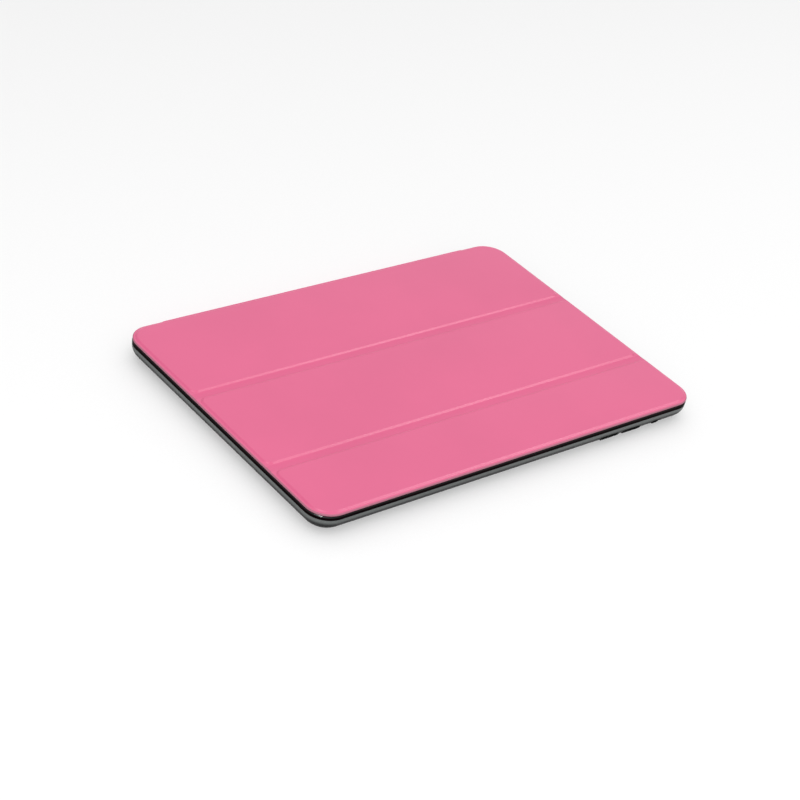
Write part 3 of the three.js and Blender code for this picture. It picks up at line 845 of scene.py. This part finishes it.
def strip(name, path, thickness, half_x, material):
    """A strip of sheet: a path of (y, z, normal y, normal z) on its outer face, run along X."""
    def section(share):
        """The strip's outline at a share of its thickness, for its rounded ends."""
        outer = [(y, z) for y, z, ny, nz in path]
        inner = [(y - ny * thickness, z - nz * thickness) for y, z, ny, nz in path]
        trim = thickness * (1 - share) / 2
        outer = [(y - ny * trim, z - nz * trim) for (y, z), (_, _, ny, nz) in zip(outer, path)]
        inner = [(y + ny * trim, z + nz * trim) for (y, z), (_, _, ny, nz) in zip(inner, path)]
        return outer + list(reversed(inner))

    rings = []
    for side in (-1, 1):
        turns = arc(END_STEPS, 0, 90) if side < 0 else arc(END_STEPS, 90, 0)
        for angle in turns:
            x = side * (half_x - SPINE_END_ROUND * (1 - math.cos(angle)))
            share = 0.4 + 0.6 * math.sin(angle)
            rings.append([(x, y, z) for y, z in section(share)])
    return loft(name, rings, material)


def build_upper_spine():
    """The spine's leather, which rises straight up into the panel's edge."""
    top = (RIM_TOP + COVER_BOTTOM) / 2
    path = []
    for step in range(SPINE_STEPS + 1):
        path.append((SPINE_EDGE, SPINE_SEAM + (top - SPINE_SEAM) * step / SPINE_STEPS, 1, 0))
    piece = strip("spine_leather", path, LEATHER, SPINE_HALF_X, leather)
    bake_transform(piece)
    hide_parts("spine_skin", "upper_hinge_web")


def build_lower_spine():
    """The flap bonded under the shell, and the bend from it up into the spine."""
    flap_low, flap_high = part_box("hinge_flap")
    bottom = flap_low.z
    centre_y = SPINE_EDGE - HINGE_CORNER
    centre_z = bottom + HINGE_CORNER
    path = [(flap_low.y, bottom, 0, -1)]
    path += [(centre_y - before, bottom, 0, -1) for before in HINGE_MARKS]
    for angle in arc(2 * ROUND_STEPS, -90, 0):
        ny = math.cos(angle)
        nz = math.sin(angle)
        path.append((centre_y + HINGE_CORNER * ny, centre_z + HINGE_CORNER * nz, ny, nz))
    path += [(SPINE_EDGE, centre_z + (SPINE_SEAM - centre_z) * share, 1, 0) for share in (0.5, 1)]
    piece = strip("flap_leather", path, flap_high.z - flap_low.z, SPINE_HALF_X, leather)
    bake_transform(piece)
    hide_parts("hinge_flap", "lower_hinge_web")


def build_spine_lining():
    """The lining inside the spine, which runs straight down from its upper edge."""
    low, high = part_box("spine_lining")
    top = COVER_BOTTOM - SPINE_LINING_GAP
    path = []
    for step in range(SPINE_LINING_STEPS + 1):
        path.append((low.y, top - (COVER_BOTTOM - low.z) * step / SPINE_LINING_STEPS, -1, 0))
    piece = strip("spine_microfibre", path, high.y - low.y, high.x, lining)
    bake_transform(piece)
    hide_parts("spine_lining")


# ---- the case -------------------------------------------------------------------------------

dress_cad_nodes()
build_rim()
build_pad()
build_keys()
for panel_name in PANELS:
    build_panel_leather(panel_name)
    build_panel_lining(panel_name)
for fold_name in FOLDS:
    build_fold(fold_name)
build_upper_spine()
build_lower_spine()
build_spine_lining()


# ---- floor, light and camera ----------------------------------------------------------------

def cover_probes():
    """Marks at the corners of each cover body's section, which move with it."""
    probes = []
    for body in ("spine", *PANELS):
        low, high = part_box(body + "_skin")
        for y in (low.y, high.y):
            for z in (low.z, high.z):
                probe = bpy.data.objects.new("probe", None)
                bpy.context.scene.collection.objects.link(probe)
                probe.location = (0, y, z)
                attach(probe, body)
                probes.append(probe)
    return probes


def build_floor():
    """A wide floor under the shell, or under the cover where that hangs lower."""
    bm = bmesh.new()
    bmesh.ops.create_grid(bm, x_segments=1, y_segments=1, size=FLOOR_HALF)
    floor = mesh_object("floor", bm, floor_material())
    resting = bpy.data.objects.new("resting", None)
    bpy.context.scene.collection.objects.link(resting)
    driver = floor.driver_add("location", 2).driver
    driver.type = "MIN"
    for probe in [resting, *cover_probes()]:
        height = driver.variables.new()
        height.type = "TRANSFORMS"
        height.targets[0].id = probe
        height.targets[0].transform_type = "LOC_Z"
        height.targets[0].transform_space = "WORLD_SPACE"
    return floor


def arithmetic(tree, operation, first, second):
    """A maths node on two sockets or numbers."""
    node = tree.nodes.new("ShaderNodeMath")
    node.operation = operation
    for target, value in zip(node.inputs, (first, second)):
        if isinstance(value, bpy.types.NodeSocket):
            tree.links.new(value, target)
        else:
            target.default_value = value
    return node.outputs["Value"]


def fade_towards(tree, direction, side, share, both_ways):
    """Goes from 1 to a share as the direction turns to a side, or also to the opposite side."""
    turned = tree.nodes.new("ShaderNodeVectorMath")
    turned.operation = "DOT_PRODUCT"
    turned.inputs[1].default_value = side
    tree.links.new(direction, turned.inputs[0])
    amount = turned.outputs["Value"]
    if both_ways:
        amount = arithmetic(tree, "ABSOLUTE", amount, 0)
    fade = tree.nodes.new("ShaderNodeMapRange")
    fade.interpolation_type = "SMOOTHSTEP"
    fade.inputs["To Min"].default_value = 1
    fade.inputs["To Max"].default_value = share
    tree.links.new(amount, fade.inputs["Value"])
    return fade.outputs["Result"]


def build_world():
    """A white studio dome, bright overhead and in front, and dimmer at the back and to both sides.

    The camera itself sees plain white.
    """
    world = bpy.data.worlds.new("studio")
    world.use_nodes = True
    tree = world.node_tree
    background = tree.nodes["Background"]
    background.inputs["Color"].default_value = (1, 1, 1, 1)
    direction = tree.nodes.new("ShaderNodeTexCoord").outputs["Generated"]
    sides = fade_towards(tree, direction, DOME_SIDE, DOME_SIDE_SHARE, both_ways=True)
    back = fade_towards(tree, direction, DOME_BACK, DOME_BACK_SHARE, both_ways=False)
    dome = arithmetic(tree, "MULTIPLY", arithmetic(tree, "MULTIPLY", sides, back), DOME_BRIGHT)
    seen = tree.nodes.new("ShaderNodeLightPath").outputs["Is Camera Ray"]
    strength = arithmetic(tree, "MAXIMUM", dome, seen)
    tree.links.new(strength, background.inputs["Strength"])
    bpy.context.scene.world = world


def area_light(name, direction, width, height, power):
    """A soft light that looks at the case from a direction, and throws no shadow."""
    data = bpy.data.lights.new(name, "AREA")
    data.use_shadow = False
    data.shape = "RECTANGLE"
    data.size = width
    data.size_y = height
    data.energy = power
    light = bpy.data.objects.new(name, data)
    bpy.context.scene.collection.objects.link(light)
    away = Vector(direction).normalized()
    light.location = away * LIGHT_DISTANCE
    light.rotation_euler = away.to_track_quat("Z", "Y").to_euler()
    return light


def build_camera():
    """The camera's own axes from its azimuth, elevation and roll, then its place."""
    flat = math.cos(VIEW_ELEVATION)
    back = Vector((
        math.sin(VIEW_AZIMUTH) * flat,
        -math.cos(VIEW_AZIMUTH) * flat,
        math.sin(VIEW_ELEVATION),
    ))
    level = Vector((0, 0, 1)).cross(back).normalized()
    upright = back.cross(level)
    right = level * math.cos(VIEW_ROLL) + upright * math.sin(VIEW_ROLL)
    up = upright * math.cos(VIEW_ROLL) - level * math.sin(VIEW_ROLL)
    data = bpy.data.cameras.new("camera")
    data.lens = VIEW_LENS
    data.sensor_width = VIEW_SENSOR
    data.clip_start = 0.01
    data.clip_end = 20
    camera = bpy.data.objects.new("camera", data)
    bpy.context.scene.collection.objects.link(camera)
    matrix = Matrix((right, up, back)).transposed().to_4x4()
    pan = right * VIEW_PAN[0] + up * VIEW_PAN[1]
    matrix.translation = VIEW_AIM + back * VIEW_DISTANCE + pan
    camera.matrix_world = matrix
    bpy.context.scene.camera = camera


build_floor()
build_world()
area_light("side_softbox", (0.6, -0.32, 0.74), width=0.5, height=0.5, power=5.5)
area_light("corner_strip", (-0.55, -0.25, 0.797), width=0.6, height=0.2, power=7)
build_camera()
bpy.context.scene.view_settings.view_transform = "Standard"
